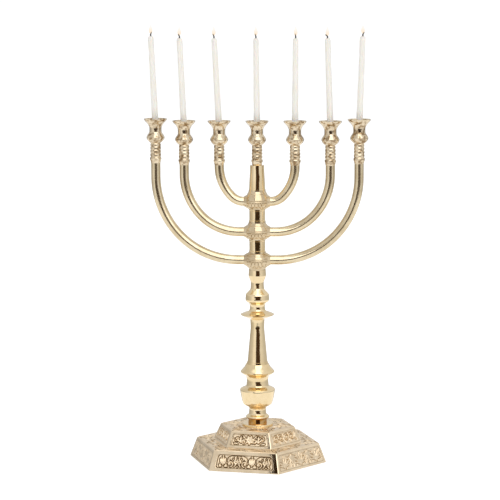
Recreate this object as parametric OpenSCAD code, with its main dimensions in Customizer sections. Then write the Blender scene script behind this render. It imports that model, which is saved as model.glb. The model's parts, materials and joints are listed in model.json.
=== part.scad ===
// Seven-branch candle lampstand in cast and turned brass, clamped together by one tie rod.
// Origin: centre of the base's underside. +Z up, +X along the row of branches, front faces -Y.

/* [Base] */
// Corner radius of the base at the table
base_r = 75; // [70:0.5:80]
// Corner radius of the lower tier at its top edge
tier1_top_r = 67; // [62:0.5:69]
// Height of the lower tier
tier1_h = 20.5; // [17:0.5:24]
// Corner radius of the upper tier at its foot
tier2_r = 48.5; // [44:0.5:54]
// Corner radius of the upper tier at its top edge
tier2_top_r = 40.5; // [36:0.5:43]
// Height of the upper tier
tier2_h = 16.5; // [13:0.5:20]
// Wall of the hollow casting
base_wall = 3.5; // [3:0.1:5]
// Turn of the base against the row of branches, in degrees
base_turn = -9; // [-15:1:15]
// Plain border round each sunk side panel
panel_border = 3.5; // [3:0.1:5]
// Depth of the sunk side panels
panel_depth = 1.2; // [0.6:0.1:1.5]

/* [Stem] */
// Radius of the polished ring under the stem
foot_ring_r = 16.5; // [14:0.1:20]
// Thickness of the polished ring
foot_ring_h = 2.5; // [2:0.1:4]
// Height of the lower vase
vase_h = 46.5; // [46:0.1:48]
// Radius of the vase's sharp rim
vase_rim_r = 18.7; // [18:0.1:20]
// Radius of the vase's waist
vase_waist_r = 9; // [8:0.1:10]
// Radius where the vase meets the column
vase_neck_r = 11.4; // [10.5:0.1:12]
// Height of the tapering column
column_h = 66; // [64:0.5:70]
// Radius of the column's sharp collar
collar_r = 18.1; // [16:0.1:20]
// Radius of the column at its narrowest
column_r = 7.3; // [6.5:0.1:8]
// Height of the drip disc and its neck
disc_h = 18; // [17.5:0.1:20]
// Radius of the drip disc's edge
disc_r = 17.7; // [14:0.1:22]
// Height of the knop under the lowest hub
knop_h = 35; // [34.5:0.1:37]
// Radius of the knop's ball
knop_ball_r = 12.6; // [11:0.1:14]
// Radius of the knop's waist
knop_waist_r = 6.9; // [6:0.1:8]
// Radius of the spacers and hub ends
spacer_r = 8.8; // [8:0.1:10]
// Height of the spacers between the hubs
spacer_h = 13.2; // [10:0.1:16]
// Height of the top spacer under the centre cup
top_spacer_h = 26; // [24:0.5:28]
// Radius of the top spacer at its upper end
top_spacer_r = 7.5; // [6.5:0.1:8.5]

/* [Branches] */
// Diameter of the round arms
arm_d = 10; // [8:0.5:12]
// Height of the lower and middle hubs
hub_h = 19.3; // [17.5:0.1:20]
// Height of the upper hub
upper_hub_h = 20.5; // [19:0.1:22]
// Radius of the hubs at the arms
hub_r = 12.4; // [11:0.1:14]
// Distance from the stem's axis to the seam between hub and arm
seam_x = 14; // [13:0.5:16]
// Height of the outer arms where they leave the hub
outer_arm_z = 215.7; // [213:0.1:218]
// Height of the middle arms where they leave the hub
middle_arm_z = 245.7; // [244:0.1:249]
// Height of the inner arms where they leave the hub
inner_arm_z = 278; // [276:0.1:281]
// Distance from the stem's axis to the outer cups
outer_x = 107.4; // [100:0.1:115]
// Distance from the stem's axis to the middle cups
middle_x = 77.2; // [72:0.1:82]
// Distance from the stem's axis to the inner cups
inner_x = 40; // [36:0.1:46]
// Sideways reach of the outer bend
outer_span = 86.5; // [80:0.5:90]
// Sideways reach of the middle bend
middle_span = 57.8; // [52:0.5:60]
// Sideways reach of the inner bend
inner_span = 26; // [22:0.5:26]
// Height gained over the outer bend
outer_rise = 88.5; // [80:0.5:95]
// Height gained over the middle bend
middle_rise = 61; // [55:0.5:66]
// Height gained over the inner bend
inner_rise = 37; // [32:0.5:38]
// How much higher the outer cups stand
outer_lift = 2; // [0:0.5:4]

/* [Cups and candles] */
// Height of each cup
cup_h = 46.7; // [46:0.1:48]
// Radius of the cup's rim
cup_rim_r = 12.2; // [11:0.1:13]
// Radius of the cup's round bulb
cup_bulb_r = 9.5; // [8.5:0.1:10.5]
// Radius of the cup's waist round the socket
cup_waist_r = 6.4; // [6:0.1:7]
// Radius of the candle socket
socket_r = 4.3; // [4.2:0.1:4.6]
// Depth of the socket below the rim
socket_depth = 13; // [12:0.5:16]
// Length of a candle's wax
candle_len = 99.5; // [80:0.5:120]
// Radius of a candle at its foot
candle_r = 3.5; // [3:0.1:3.6]
// Radius of a candle below its rounded tip
candle_tip_r = 2.6; // [2:0.1:3.4]
// Bare wick above the wax
wick_out = 4.6; // [3:0.1:8]

/* [Tie rod] */
// Diameter of the tie rod
rod_d = 6; // [5:0.5:6]
// Radial running clearance of the three hubs on the rod
hub_clearance = 0.06; // [0.02:0.01:0.1]
// Radial clearance of the fixed pieces on the rod
stem_clearance = 0.3; // [0.1:0.05:0.4]
// Width across the nut's flats
nut_af = 10; // [9:0.5:12]
// Height of the nut
nut_h = 5; // [4:0.5:7]
// Radius of the washer
washer_r = 9; // [7:0.5:12]
// Thickness of the washer
washer_h = 1.6; // [1:0.1:2.5]
// Diameter of the studs at both ends of each arm
stud_d = 5; // [4:0.5:6]
// Length of those studs
stud_len = 6; // [4:0.5:7]
// Radial clearance of the studs in their holes
stud_clearance = 0.05; // [0.02:0.01:0.1]

/* [Hidden] */
$fn = 96;
SIDES = 6;
CURVE_STEPS = 6;
OVER = 1;

// Sideways lean of each candle in its loose socket, left to right, in degrees
candle_lean = [-2.5, -2.5, -3, -0.6, 0.4, -2, 2];
// Direction and angle in which each wick's burnt end is bent
wick_bend = [22, -24, -20, -18, -14, -48, 26];

rod_r = rod_d / 2;
rod_below_nut = 3;
rod_in_cup = 10;
stem_bore_r = rod_r + stem_clearance;
hub_bore_r = rod_r + hub_clearance;
stud_r = stud_d / 2;
stud_bore_r = stud_r + stud_clearance;
arm_r = arm_d / 2;

base_h = tier1_h + tier2_h;
vase_z = base_h + foot_ring_h;
column_z = vase_z + vase_h;
disc_z = column_z + column_h;
knop_z = disc_z + disc_h;
hub_lower_z = knop_z + knop_h;
spacer_lower_z = hub_lower_z + hub_h;
hub_middle_z = spacer_lower_z + spacer_h;
spacer_upper_z = hub_middle_z + hub_h;
hub_upper_z = spacer_upper_z + spacer_h;
top_spacer_z = hub_upper_z + upper_hub_h;
cup_z = top_spacer_z + top_spacer_h;

washer_z = base_h - base_wall - washer_h;
nut_z = washer_z - nut_h;
rod_z = nut_z - rod_below_nut;
rod_len = cup_z + rod_in_cup - rod_z;

socket_floor = cup_h - socket_depth;
candle_gap = 0.1;
wick_r = 0.6;
wick_clearance = 0.08;

// Arm levels: cup distance, arm height, bend reach, bend rise, cup height
OUTER = [outer_x, outer_arm_z, outer_span, outer_rise, cup_z + outer_lift];
MIDDLE = [middle_x, middle_arm_z, middle_span, middle_rise, cup_z];
INNER = [inner_x, inner_arm_z, inner_span, inner_rise, cup_z];
LEFT = -1;
RIGHT = 1;

// Cup places from left to right: distance along X and height of the cup's foot
CUPS = [
    [-OUTER[0], OUTER[4]],
    [-MIDDLE[0], MIDDLE[4]],
    [-INNER[0], INNER[4]],
    [0, cup_z],
    [INNER[0], INNER[4]],
    [MIDDLE[0], MIDDLE[4]],
    [OUTER[0], OUTER[4]]
];
CENTRE_CUP = 3;

BRASS = [0.80, 0.65, 0.36];
PALE_BRASS = [0.86, 0.77, 0.58];
STEEL = [0.62, 0.62, 0.60];
WAX = [0.95, 0.93, 0.88];
CHAR = [0.22, 0.20, 0.19];

COUNT = len(CUPS);

// ---- outlines of turned work, as [radius, height] ----

// Point at fraction t of the smooth curve from b to c, with a and d as its neighbours
function curve_point(a, b, c, d, t) =
    (2 * b + (c - a) * t + (2 * a - 5 * b + 4 * c - d) * pow(t, 2)
     + (3 * b - a - 3 * c + d) * pow(t, 3)) / 2;

// Smooth curve through every point of a run, without the run's last point
function smooth(run) =
    let (last = len(run) - 1, steps = last == 1 ? 1 : CURVE_STEPS)
    [for (i = [0:last - 1], s = [0:steps - 1])
        curve_point(run[max(i - 1, 0)], run[i], run[i + 1], run[min(i + 2, last)], s / steps)];

// Runs that meet in sharp corners, one after the other, then the closing points
function outline(runs, closing) = concat([for (run = runs) each smooth(run)], closing);

// Half-round bead standing out from radius r, between two heights
function bead(r, out, low, high) =
    [for (a = [0:15:165]) [r + out * sin(a), (low + high) / 2 - (high - low) / 2 * cos(a)]];

module turned(points) {
    rotate_extrude() polygon(points);
}

// ---- base ----

// Hexagonal block with sloped flat sides, from corner radius r1 up to r2
module hex_block(r1, r2, h) {
    half = cos(180 / SIDES);
    wide = 2 * r1 + OVER;
    intersection_for (turn = [30, 90, 150])
        rotate([90, 0, turn])
            linear_extrude(height = 2 * wide, center = true)
                polygon([[-r1 * half, 0], [r1 * half, 0], [r2 * half, h], [-r2 * half, h]]);
}

// Sunk panels in the six sloped sides of a tier that starts at height z
module side_panels(r1, r2, h, z) {
    half = cos(180 / SIDES);
    run_in = (r1 - r2) * half;
    slope = atan(run_in / h);
    face_h = sqrt(pow(run_in, 2) + pow(h, 2));
    low = panel_border;
    high = face_h - panel_border;
    wide_low = (r1 - (r1 - r2) * low / face_h) / 2 - panel_border;
    wide_high = (r1 - (r1 - r2) * high / face_h) / 2 - panel_border;
    for (k = [0:SIDES - 1])
        rotate([0, 0, k * 360 / SIDES])
            translate([0, -r1 * half, z])
                rotate([90 - slope, 0, 0])
                    translate([0, 0, -panel_depth])
                        linear_extrude(height = panel_depth + OVER)
                            polygon([
                                [-wide_low, low],
                                [wide_low, low],
                                [wide_high, high],
                                [-wide_high, high]
                            ]);
}

module base_casting() {
    lower_in = base_wall / cos(180 / SIDES);
    color(PALE_BRASS) rotate([0, 0, base_turn]) difference() {
        union() {
            hex_block(base_r, tier1_top_r, tier1_h);
            translate([0, 0, tier1_h - OVER]) hex_block(
                tier2_r + (tier2_r - tier2_top_r) / tier2_h * OVER, tier2_top_r, tier2_h + OVER);
        }
        translate([0, 0, -OVER]) hex_block(
            base_r - lower_in + (base_r - tier1_top_r) / tier1_h * OVER,
            tier1_top_r - lower_in, tier1_h - base_wall + OVER);
        hex_block(tier2_r - lower_in + (tier2_r - tier2_top_r) / tier2_h * tier1_h,
            tier2_top_r - lower_in, base_h - base_wall);
        side_panels(base_r, tier1_top_r, tier1_h, 0);
        side_panels(tier2_r, tier2_top_r, tier2_h, tier1_h);
        cylinder(r = stem_bore_r, h = base_h + OVER);
    }
}

// ---- stem ----

module foot_ring() {
    round_h = 0.5;
    color(BRASS) translate([0, 0, base_h]) turned([
        [stem_bore_r, 0], [foot_ring_r - 0.2, 0], [foot_ring_r, 0.3],
        [foot_ring_r - 0.15, foot_ring_h - round_h], [foot_ring_r - 0.3, foot_ring_h - round_h / 3],
        [foot_ring_r - round_h, foot_ring_h], [stem_bore_r, foot_ring_h]]);
}

module lower_vase() {
    foot_r = vase_waist_r + 0.7;
    rim_z = vase_h - 10.8;
    color(BRASS) translate([0, 0, vase_z]) turned(outline([
        [[stem_bore_r, 0], [foot_r + 0.4, 0]],
        [[foot_r + 0.4, 0], [foot_r, 4.8]],
        [[foot_r, 4.8], [foot_r + 1.9, 5.5], [foot_r + 2.8, 6.9], [foot_r + 1.9, 8.3],
         [vase_waist_r + 0.8, 9.5], [vase_waist_r + 0.35, 10.7], [vase_waist_r + 0.05, 13],
         [vase_waist_r, 15], [vase_waist_r + 0.4, 16.7], [vase_waist_r + 2.1, 18.4],
         [vase_waist_r + 5.6, 20.5], [vase_waist_r + 6.9, 22.6],
         [vase_rim_r - 1.2, 29], [vase_rim_r, rim_z]],
        [[vase_rim_r, rim_z], [vase_rim_r, rim_z + 0.9]],
        [[vase_rim_r, rim_z + 0.9], [vase_rim_r - 0.9, rim_z + 2], [vase_neck_r + 3.6, rim_z + 3.4],
         [vase_neck_r + 1.2, rim_z + 4.5], [vase_neck_r + 0.6, rim_z + 5.6], [vase_neck_r + 0.2, rim_z + 8.4],
         [vase_neck_r, vase_h]]],
        [[vase_neck_r, vase_h], [stem_bore_r, vase_h]]));
}

module column() {
    collar_z = 9.2;
    step_z = 18;
    color(BRASS) translate([0, 0, column_z]) turned(outline([
        [[stem_bore_r, 0], [vase_neck_r, 0]],
        [[vase_neck_r, 0], [vase_neck_r + 0.3, 2.6], [vase_neck_r + 1.5, 5.2],
         [collar_r - 1.6, 7.6], [collar_r, collar_z]],
        [[collar_r, collar_z], [collar_r, collar_z + 0.6]],
        [[collar_r, collar_z + 0.6], [collar_r - 1.2, collar_z + 2.1], [collar_r - 4.3, collar_z + 5.6],
         [12.2, step_z]],
        [[12.2, step_z], [11.5, step_z]],
        [[11.5, step_z], [11.3, step_z + 2]],
        [[11.3, step_z + 2], [10.6, step_z + 2]],
        [[10.6, step_z + 2], [9.8, step_z + 11], [9, 38], [8.15, 47], [column_r, 56],
         [column_r + 0.1, 62], [column_r + 0.4, column_h]]],
        [[column_r + 0.4, column_h], [stem_bore_r, column_h]]));
}

module drip_disc() {
    foot_r = column_r + 0.4;
    edge_z = 5;
    color(BRASS) translate([0, 0, disc_z]) turned(outline([
        [[stem_bore_r, 0], [foot_r, 0]],
        [[foot_r, 0], [foot_r + 1.2, 0.8], [foot_r + 3.6, 2], [disc_r - 1.8, 3.8], [disc_r, edge_z]],
        [[disc_r, edge_z], [disc_r, edge_z + 0.6]],
        [[disc_r, edge_z + 0.6], [foot_r + 6.6, edge_z + 2.1], [foot_r + 2.6, edge_z + 3.5],
         [foot_r + 1.1, edge_z + 4.5], [foot_r + 0.6, edge_z + 5.7], [foot_r + 0.3, edge_z + 8],
         [foot_r + 0.3, disc_h - 3.8], [foot_r + 0.7, disc_h - 1.8],
         [foot_r + 1.8, disc_h]]],
        [[foot_r + 1.8, disc_h], [stem_bore_r, disc_h]]));
}

module stem_knop() {
    foot_r = column_r + 2.5;
    bulb_z = knop_h - 5.8;
    color(BRASS) translate([0, 0, knop_z]) turned(outline([
        [[stem_bore_r, 0], [foot_r, 0]],
        [[foot_r, 0], [knop_ball_r - 0.8, 1.4], [knop_ball_r, 3.4], [knop_ball_r - 0.1, 6.4],
         [knop_ball_r - 0.4, 9], [knop_ball_r - 2.1, 11], [knop_waist_r + 1.5, 13.2],
         [knop_waist_r + 0.45, 14.8], [knop_waist_r + 0.15, 17.4], [knop_waist_r, 20.6],
         [knop_waist_r + 0.3, 23], [knop_waist_r + 1.7, 26.6], [spacer_r + 0.6, bulb_z]],
        [[spacer_r + 0.6, bulb_z], [spacer_r + 0.2, knop_h]]],
        [[spacer_r + 0.2, knop_h], [stem_bore_r, knop_h]]));
}

module spacer(z) {
    ring_h = 1.2;
    groove = 0.4;
    color(BRASS) translate([0, 0, z]) turned([
        [stem_bore_r, 0], [spacer_r, 0], [spacer_r, ring_h], [spacer_r - groove, ring_h + groove],
        [spacer_r - groove, spacer_h - ring_h - groove], [spacer_r, spacer_h - ring_h],
        [spacer_r, spacer_h], [stem_bore_r, spacer_h]]);
}

module top_spacer() {
    h = top_spacer_h;
    color(BRASS) translate([0, 0, top_spacer_z]) turned(outline([
        [[stem_bore_r, 0], [spacer_r - 0.2, 0]],
        [[spacer_r - 0.2, 0], [spacer_r - 0.6, h * 0.36], [top_spacer_r + 0.2, h * 0.7], [top_spacer_r, h]]],
        [[top_spacer_r, h], [stem_bore_r, h]]));
}

// ---- hubs that carry a pair of arms ----

// Hub with its foot at height z and its two side stubs at height arm_z
module hub(z, h, arm_z) {
    mid = arm_z - z;
    band = 1.6;
    stub_root_r = arm_r + 6.1;
    stub_root_x = stem_bore_r + 1;
    end_gap = 0.2;
    color(PALE_BRASS) difference() {
        union() {
            translate([0, 0, z]) turned(outline([
                [[hub_bore_r, 0], [spacer_r, 0]],
                [[spacer_r, 0], [spacer_r + 0.2, 1.6]],
                [[spacer_r + 0.2, 1.6], [hub_r - 1.4, mid * 0.55], [hub_r, mid - band]],
                [[hub_r, mid - band], [hub_r, mid + band]],
                [[hub_r, mid + band], [hub_r - 0.8, mid + (h - mid) * 0.42],
                 [spacer_r + 1.2, mid + (h - mid) * 0.74], [spacer_r + 0.3, h - 1.4]],
                [[spacer_r + 0.3, h - 1.4], [spacer_r + 0.3, h]]],
                [[spacer_r + 0.3, h], [hub_bore_r, h]]));
            intersection() {
                for (side = [LEFT, RIGHT])
                    translate([0, 0, arm_z]) rotate([0, side * 90, 0])
                        translate([0, 0, stub_root_x])
                            cylinder(r1 = stub_root_r, r2 = arm_r + 0.3, h = seam_x - stub_root_x);
                translate([0, 0, z + end_gap]) cylinder(r = seam_x + OVER, h = h - 2 * end_gap);
            }
        }
        translate([0, 0, z - OVER]) cylinder(r = hub_bore_r, h = h + 2 * OVER);
        for (side = [LEFT, RIGHT])
            translate([0, 0, arm_z]) rotate([0, side * 90, 0])
                translate([0, 0, seam_x - stud_len - OVER / 2]) cylinder(r = stud_bore_r, h = stud_len + OVER);
    }
}

// ---- arms ----

// Radii of the two tangent arcs of a bend that reaches span sideways and rise upwards
function bend_low(span, rise) = (span * cos(45) - rise * (1 - cos(45))) / (2 * cos(45) - 1);
function bend_high(span, rise) = (rise * cos(45) - span * (1 - cos(45))) / (2 * cos(45) - 1);

// Eighth of a ring of radius r, starting level at the origin and bending up from +X
module eighth_bend(r) {
    translate([0, 0, r]) rotate([90, 0, 0]) rotate([0, 0, -90])
        rotate_extrude(angle = 45) translate([r, 0]) circle(r = arm_r);
}

// Hair-thin sleeve along Z over a joint between two lengths of an arm
module joint_sleeve() {
    cylinder(r = arm_r + 0.02, h = 0.6, center = true);
}

module arm(level, side) {
    x_end = level[0];
    z = level[1];
    span = level[2];
    rise = level[3];
    low_r = bend_low(span, rise);
    high_r = bend_high(span, rise);
    x_bend = x_end - span;
    x_mid = x_bend + low_r * sin(45);
    z_mid = z + low_r * (1 - cos(45));
    color(BRASS) mirror([side == LEFT ? 1 : 0, 0, 0]) {
        translate([seam_x - stud_len, 0, z]) rotate([0, 90, 0]) cylinder(r = stud_r, h = stud_len + OVER);
        if (x_bend > seam_x) {
            translate([seam_x, 0, z]) rotate([0, 90, 0]) cylinder(r = arm_r, h = x_bend - seam_x);
            translate([x_bend, 0, z]) rotate([0, 90, 0]) joint_sleeve();
        }
        translate([x_bend, 0, z]) eighth_bend(low_r);
        translate([x_mid, 0, z_mid]) rotate([0, 45, 0]) joint_sleeve();
        translate([x_mid, 0, z_mid]) rotate([0, -45, 0]) eighth_bend(high_r);
        translate([x_end, 0, z + rise]) joint_sleeve();
        translate([x_end, 0, z + rise]) cylinder(r = arm_r, h = level[4] - z - rise);
        translate([x_end, 0, level[4] - OVER]) cylinder(r = stud_r, h = stud_len + OVER);
    }
}

// ---- cups, candles and wicks ----

module cup(k) {
    hole_r = k == CENTRE_CUP ? rod_r + stud_clearance : stud_bore_r;
    hole_h = k == CENTRE_CUP ? rod_in_cup + OVER : stud_len + OVER;
    neck_r = arm_r + 0.2;
    lip = 0.8;
    color(BRASS) translate([CUPS[k][0], 0, CUPS[k][1]]) difference() {
        turned(concat(
            outline([
                [[0, 0], [arm_r, 0]],
                [[arm_r, 0], [neck_r + 0.3, 2.2], [neck_r + 0.9, 4.4], [neck_r + 0.7, 5.8], [neck_r, 6.6]]],
                []),
            bead(neck_r, 0.55, 7, 10.2),
            bead(neck_r, 0.55, 10.6, 13.8),
            bead(neck_r, 0.45, 14.2, 17.4),
            bead(neck_r, 0.35, 17.8, 20.6),
            outline([
                [[neck_r, 21], [neck_r + 1.6, 22.3], [cup_bulb_r - 0.9, 24.3], [cup_bulb_r, 26.9],
                 [cup_bulb_r - 0.8, 29.2], [cup_waist_r + 0.95, 31.2], [cup_waist_r + 0.15, 32.7],
                 [cup_waist_r, 35.2], [cup_waist_r + 0.15, 37.8], [cup_waist_r + 0.8, 39.6],
                 [cup_rim_r - 3.6, 41.8], [cup_rim_r - 0.8, 44.8],
                 [cup_rim_r, cup_h]]],
                [[cup_rim_r, cup_h], [cup_rim_r - lip, cup_h]]),
            outline([
                [[cup_rim_r - lip, cup_h], [cup_rim_r - 2.2, 44.6], [cup_rim_r - 5.2, 41.6],
                 [socket_r, 38.6]],
                [[socket_r, 38.6], [socket_r, socket_floor]]],
                [[socket_r, socket_floor], [0, socket_floor]])));
        translate([0, 0, -OVER]) cylinder(r = hole_r, h = hole_h + OVER);
    }
}

// Moves a candle's own frame, foot at the origin, to its place in cup k
module in_socket(k) {
    turn_z = 5;
    floor_z = CUPS[k][1] + socket_floor;
    lift = candle_r * abs(sin(candle_lean[k])) + candle_gap;
    translate([CUPS[k][0], 0, floor_z + lift + turn_z])
        rotate([0, candle_lean[k], 0]) translate([0, 0, -turn_z]) children();
}

module candle(k) {
    tip_h = 3;
    hole_r = wick_r + wick_clearance;
    color(WAX) in_socket(k) turned(concat(
        [[hole_r, 0], [candle_r - 0.4, 0], [candle_r, 0.6], [candle_tip_r, candle_len - tip_h]],
        [for (a = [15:15:75]) [hole_r + (candle_tip_r - hole_r) * cos(a), candle_len - tip_h + tip_h * sin(a)]],
        [[hole_r, candle_len]]));
}

module wick(k) {
    straight = wick_out * 0.4;
    color(CHAR) in_socket(k) {
        cylinder(r = wick_r, h = candle_len + straight);
        translate([0, 0, candle_len + straight]) sphere(r = wick_r + 0.1);
        translate([0, 0, candle_len + straight]) rotate([0, wick_bend[k], 0])
            cylinder(r = wick_r - 0.05, h = wick_out - straight);
    }
}

// ---- clamping hardware ----

module tie_rod() {
    color(STEEL) translate([0, 0, rod_z]) cylinder(r = rod_r, h = rod_len);
}

module base_washer() {
    color(STEEL) translate([0, 0, washer_z]) difference() {
        cylinder(r = washer_r, h = washer_h);
        translate([0, 0, -OVER]) cylinder(r = stem_bore_r, h = washer_h + 2 * OVER);
    }
}

module base_nut() {
    color(STEEL) translate([0, 0, nut_z]) difference() {
        cylinder(r = nut_af / 2 / cos(180 / SIDES), h = nut_h, $fn = SIDES);
        translate([0, 0, -OVER]) cylinder(r = rod_r + stud_clearance, h = nut_h + 2 * OVER);
    }
}

base_casting();
foot_ring();
lower_vase();
column();
drip_disc();
stem_knop();
hub(hub_lower_z, hub_h, outer_arm_z);  // hub_lower
spacer(spacer_lower_z);  // spacer_lower
hub(hub_middle_z, hub_h, middle_arm_z);  // hub_middle
spacer(spacer_upper_z);  // spacer_upper
hub(hub_upper_z, upper_hub_h, inner_arm_z);  // hub_upper
top_spacer();
tie_rod();
base_washer();
base_nut();
arm(OUTER, LEFT);  // arm_outer_left
arm(OUTER, RIGHT);  // arm_outer_right
arm(MIDDLE, LEFT);  // arm_middle_left
arm(MIDDLE, RIGHT);  // arm_middle_right
arm(INNER, LEFT);  // arm_inner_left
arm(INNER, RIGHT);  // arm_inner_right
for (k = [0:COUNT - 1]) {
    cup(k);
    candle(k);
    wick(k);
}
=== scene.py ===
"""Looks of the seven-branch menorah: its studio, its brass, its cast relief, its candles and its wicks."""

import json
import math
import random

import bpy
import numpy as np
from mathutils import Matrix, Vector
from mathutils.bvhtree import BVHTree


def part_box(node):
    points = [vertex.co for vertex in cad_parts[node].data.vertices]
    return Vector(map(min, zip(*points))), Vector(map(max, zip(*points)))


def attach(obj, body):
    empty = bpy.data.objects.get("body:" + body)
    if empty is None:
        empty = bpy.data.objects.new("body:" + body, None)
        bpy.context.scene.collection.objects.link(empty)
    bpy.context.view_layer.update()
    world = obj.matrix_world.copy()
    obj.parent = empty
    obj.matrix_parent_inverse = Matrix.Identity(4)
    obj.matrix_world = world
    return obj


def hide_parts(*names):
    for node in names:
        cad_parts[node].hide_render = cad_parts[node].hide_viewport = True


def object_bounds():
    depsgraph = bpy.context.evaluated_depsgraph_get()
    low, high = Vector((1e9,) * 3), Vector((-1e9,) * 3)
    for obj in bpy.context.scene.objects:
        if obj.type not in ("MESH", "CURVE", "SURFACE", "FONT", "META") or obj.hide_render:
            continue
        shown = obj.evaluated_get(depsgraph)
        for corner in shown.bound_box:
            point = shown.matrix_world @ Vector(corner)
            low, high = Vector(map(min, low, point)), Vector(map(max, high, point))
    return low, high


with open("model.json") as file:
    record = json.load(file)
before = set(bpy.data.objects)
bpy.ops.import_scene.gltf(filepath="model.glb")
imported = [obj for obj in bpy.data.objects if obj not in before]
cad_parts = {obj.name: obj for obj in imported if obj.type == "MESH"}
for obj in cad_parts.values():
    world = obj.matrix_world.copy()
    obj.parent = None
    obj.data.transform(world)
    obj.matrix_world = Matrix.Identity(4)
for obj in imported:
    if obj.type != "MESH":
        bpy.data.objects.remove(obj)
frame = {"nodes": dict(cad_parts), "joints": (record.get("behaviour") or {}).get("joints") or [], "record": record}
cad_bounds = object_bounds()

MM = 0.001
TAU = 2 * math.pi
UP = math.pi / 2
CANDLES = range(1, 8)

# ---- camera ----
CAMERA_DISTANCE = 2.205
CAMERA_HEIGHT = 0.531
CAMERA_AZIMUTH = math.radians(4)
CAMERA_HEADING = math.radians(4.2)
CAMERA_PITCH = math.radians(7.87)
CAMERA_ROLL = math.radians(-0.15)
CAMERA_LENS = 151.2
SENSOR_WIDTH = 36

# ---- base casting, the same dimensions as the CAD part's own ----
SIDES = 6
BASE_TURN = math.radians(-9)
HALF = math.cos(math.pi / SIDES)
LOWER_TIER = {"foot_r": 75, "top_r": 67, "z": 0, "h": 20.5}
UPPER_TIER = {"foot_r": 48.5, "top_r": 40.5, "z": 20.5, "h": 16.5}
PANEL_BORDER = 3.5
PANEL_DEPTH = 1.2
# Rounding of the casting's edges, in metres
WELD_GAP = 0.00001
EDGE_ROUND = 0.00045
EDGE_STEPS = 3
EDGE_ANGLE = math.radians(20)
FOOT_RING_R = 16.5
# Heights between which an orange reflection of the foot ring and base is painted on the vase's foot, in metres
VASE_PAINTED_REFLECTION = (0.0394, 0.0462)

# ---- relief ----
LATTICE = 0.2
RELIEF_STEP = 0.32
SHEET_SKIN = 0.03

# ---- colours, linear ----
BRASS_LIGHT = (0.93, 0.755, 0.485, 1)
BRASS_DEEP = (0.85, 0.665, 0.385, 1)
ARM_LIGHT = (0.80, 0.675, 0.465, 1)
ARM_DEEP = (0.67, 0.545, 0.35, 1)
CAST_LIGHT = (0.91, 0.75, 0.54, 1)
CAST_DEEP = (0.80, 0.64, 0.44, 1)
HUB_LIGHT = (0.76, 0.62, 0.42, 1)
HUB_DEEP = (0.60, 0.47, 0.30, 1)
CUP_LIGHT = (0.82, 0.69, 0.50, 1)
CUP_DEEP = (0.64, 0.52, 0.36, 1)
CUP_BROWN = (0.30, 0.195, 0.095, 1)
# Painted reflection: the orange that the foot ring and base throw on the vase's foot, laid on as colour
PAINTED_ORANGE_REFLECTION = (0.52, 0.25, 0.05, 1)
PATINA = (0.43, 0.29, 0.145, 1)
PATINA_DARK = (0.115, 0.072, 0.032, 1)


# ======== node graphs ========

class Graph:
    """Short ways to build a node tree."""

    def __init__(self, tree):
        self.tree = tree
        tree.nodes.clear()

    def add(self, kind, inputs=None, **settings):
        """New node with its properties and its inputs set or linked."""
        made = self.tree.nodes.new(kind)
        for key, value in settings.items():
            setattr(made, key, value)
        for key, value in (inputs or {}).items():
            self.feed(made.inputs[key], value)
        return made

    def feed(self, socket, value):
        """Links another node's output, or sets a plain value."""
        if isinstance(value, bpy.types.NodeSocket):
            self.tree.links.new(value, socket)
        else:
            socket.default_value = value

    def math(self, operation, a, b=0.0):
        return self.add("ShaderNodeMath", {0: a, 1: b}, operation=operation).outputs[0]

    def remap(self, value, low, high, to_low=0.0, to_high=1.0):
        """Smooth step of value from low to high."""
        made = self.add("ShaderNodeMapRange", interpolation_type="SMOOTHSTEP")
        for key, number in zip((0, 1, 2, 3, 4), (value, low, high, to_low, to_high)):
            self.feed(made.inputs[key], number)
        return made.outputs[0]

    def mix(self, factor, a, b):
        made = self.add("ShaderNodeMix", data_type="RGBA")
        for key, value in zip((0, 6, 7), (factor, a, b)):
            self.feed(made.inputs[key], value)
        return made.outputs[2]

    def stretch(self, vector, scale):
        """The vector with each axis scaled."""
        return self.add("ShaderNodeMapping", {"Vector": vector, "Scale": scale}).outputs[0]

    def noise(self, vector, scale, detail=3.0, roughness=0.5):
        return self.add(
            "ShaderNodeTexNoise",
            {"Vector": vector, "Scale": scale, "Detail": detail, "Roughness": roughness},
        ).outputs[0]

    def ramp(self, factor, stops):
        """Grey values between stops, each a place from 0 to 1 and a value."""
        made = self.add("ShaderNodeValToRGB", {0: factor})
        points = made.color_ramp.elements
        while len(points) < len(stops):
            points.new(0.5)
        for point, (place, value) in zip(points, stops):
            point.position = place
            point.color = (value, value, value, 1)
        return made.outputs[0]

    def bump(self, height, distance, strength=1.0, under=None):
        inputs = {"Height": height, "Distance": distance, "Strength": strength}
        if under is not None:
            inputs["Normal"] = under
        return self.add("ShaderNodeBump", inputs).outputs[0]


def new_material(name):
    """Empty material and its graph."""
    material = bpy.data.materials.new(name)
    material.use_nodes = True
    return material, Graph(material.node_tree)


def finish_material(graph, shader):
    graph.add("ShaderNodeOutputMaterial", {"Surface": shader.outputs[0]})


# ======== materials ========

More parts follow.
